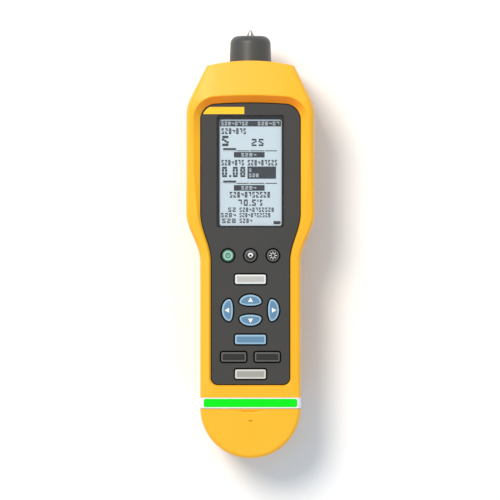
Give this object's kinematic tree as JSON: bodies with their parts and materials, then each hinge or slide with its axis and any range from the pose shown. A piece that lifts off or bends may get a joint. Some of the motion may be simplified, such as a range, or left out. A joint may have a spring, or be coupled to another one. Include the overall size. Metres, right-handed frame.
{
  "type": "handheld vibration meter",
  "caption": "Handheld vibration meter lying on its back: pointed sensor tip in a rubber nose, raised rim round a display, keypad on the grip, light bar and hinged end cap.",
  "frame": {"origin": "below the middle of the meter, on the surface that it lies on", "axes": "+Z out of the display, +Y along the meter towards the sensor tip, +X to the right as the display is read"},
  "size_m": [0.0724, 0.241, 0.058],
  "materials": {
    "case": "fine satin moulded ABS, yellow",
    "fascia": "fine grained dark grey",
    "window": "clear window with a black printed border",
    "lcd": "pale reflective LCD glass",
    "diffuser": "milky light diffuser",
    "green_lens": "lit green light guide",
    "board": "green circuit board",
    "chip": "black epoxy",
    "shield": "tinned steel",
    "flex": "polyimide film",
    "foam": "black foam and seal",
    "mat": "silicone rubber",
    "key_green": "green silicone key",
    "key_dark": "dark grey key",
    "key_blue": "blue key",
    "key_white": "off-white key",
    "key_grey": "warm light grey key",
    "panel": "black moulded panel",
    "boot": "dark grey rubber",
    "steel": "stainless steel",
    "brass": "brass",
    "ir_glass": "dark infrared lens",
    "clear": "clear torch lens",
    "led": "white LED",
    "cell": "plain printed cell jacket"
  },
  "bodies": {
    "housing": {"front_case": "case", "rear_case": "case", "case_gasket": "foam", "fascia": "fascia", "display_window": "window", "display_gasket": "foam", "lcd_panel": "lcd", "lcd_backlight": "diffuser", "lcd_flex": "flex", "main_board": "board", "board_chips": "chip", "radio_module": "shield", "dome_sheet": "shield", "keypad_mat": "mat", "status_band": "diffuser", "status_lens": "green_lens", "status_board": "board", "cap_hinge_pin": "steel", "port_panel": "panel", "usb_socket": "shield", "audio_jack": "chip", "sensor_socket": "brass", "nose_boot": "boot", "sensor_guide": "panel", "sensor_spring": "steel", "ir_lens": "ir_glass", "ir_detector": "shield", "torch_lens": "clear", "torch_led": "led", "cells": "cell", "battery_contacts": "shield", "battery_springs": "steel", "case_screws": "steel", "screw_inserts": "brass"},
    "key_power": {"key_power": "key_green"},
    "key_torch": {"key_torch": "key_dark"},
    "key_backlight": {"key_backlight": "key_dark"},
    "key_measure": {"key_measure": "key_white"},
    "key_up": {"key_up": "key_blue"},
    "key_down": {"key_down": "key_blue"},
    "key_left": {"key_left": "key_blue"},
    "key_right": {"key_right": "key_blue"},
    "key_enter": {"key_enter": "key_blue"},
    "key_save": {"key_save": "key_dark"},
    "key_memory": {"key_memory": "key_dark"},
    "key_setup": {"key_setup": "key_grey"},
    "probe": {"sensor_tip": "steel", "sensor_body": "steel", "piezo_stack": "brass"},
    "cap": {"end_cap": "case"},
    "door": {"battery_door": "case"},
    "screw_upper": {"door_screw_upper": "steel"},
    "screw_lower": {"door_screw_lower": "steel"}
  },
  "joints": [
    {"name": "key_power_press", "type": "slide", "parent": "housing", "child": "key_power", "axis": [0, 0, -1], "range_m": [0, 0.0008], "stiffness_N_per_m": 800, "springref_m": -0.0003},
    {"name": "key_torch_press", "type": "slide", "parent": "housing", "child": "key_torch", "axis": [0, 0, -1], "range_m": [0, 0.0008], "stiffness_N_per_m": 800, "springref_m": -0.0003},
    {"name": "key_backlight_press", "type": "slide", "parent": "housing", "child": "key_backlight", "axis": [0, 0, -1], "range_m": [0, 0.0008], "stiffness_N_per_m": 800, "springref_m": -0.0003},
    {"name": "key_measure_press", "type": "slide", "parent": "housing", "child": "key_measure", "axis": [0, 0, -1], "range_m": [0, 0.0008], "stiffness_N_per_m": 800, "springref_m": -0.0003},
    {"name": "key_up_press", "type": "slide", "parent": "housing", "child": "key_up", "axis": [0, 0, -1], "range_m": [0, 0.0008], "stiffness_N_per_m": 800, "springref_m": -0.0003},
    {"name": "key_down_press", "type": "slide", "parent": "housing", "child": "key_down", "axis": [0, 0, -1], "range_m": [0, 0.0008], "stiffness_N_per_m": 800, "springref_m": -0.0003},
    {"name": "key_left_press", "type": "slide", "parent": "housing", "child": "key_left", "axis": [0, 0, -1], "range_m": [0, 0.0008], "stiffness_N_per_m": 800, "springref_m": -0.0003},
    {"name": "key_right_press", "type": "slide", "parent": "housing", "child": "key_right", "axis": [0, 0, -1], "range_m": [0, 0.0008], "stiffness_N_per_m": 800, "springref_m": -0.0003},
    {"name": "key_enter_press", "type": "slide", "parent": "housing", "child": "key_enter", "axis": [0, 0, -1], "range_m": [0, 0.0008], "stiffness_N_per_m": 800, "springref_m": -0.0003},
    {"name": "key_save_press", "type": "slide", "parent": "housing", "child": "key_save", "axis": [0, 0, -1], "range_m": [0, 0.0008], "stiffness_N_per_m": 800, "springref_m": -0.0003},
    {"name": "key_memory_press", "type": "slide", "parent": "housing", "child": "key_memory", "axis": [0, 0, -1], "range_m": [0, 0.0008], "stiffness_N_per_m": 800, "springref_m": -0.0003},
    {"name": "key_setup_press", "type": "slide", "parent": "housing", "child": "key_setup", "axis": [0, 0, -1], "range_m": [0, 0.0008], "stiffness_N_per_m": 800, "springref_m": -0.0003},
    {"name": "probe_press", "type": "slide", "parent": "housing", "child": "probe", "axis": [0, -1, 0], "range_m": [0, 0.0012], "stiffness_N_per_m": 6000, "springref_m": -0.0004},
    {"name": "cap_hinge", "type": "hinge", "parent": "housing", "child": "cap", "pos_m": [0, -0.094, 0.0024], "axis": [1, 0, 0], "range_deg": [0, 90]},
    {"name": "door_lift_off", "type": "slide", "parent": "housing", "child": "door", "axis": [0, 0, -1], "range_m": [0, 0.03]},
    {"name": "screw_upper_turn", "type": "hinge", "parent": "door", "child": "screw_upper", "pos_m": [0, 0.00413, 0.013], "axis": [0, 0, 1], "range_deg": [0, 90]},
    {"name": "screw_lower_turn", "type": "hinge", "parent": "door", "child": "screw_lower", "pos_m": [0, -0.06043, 0.003], "axis": [0, 0, 1], "range_deg": [0, 90]}
  ]
}
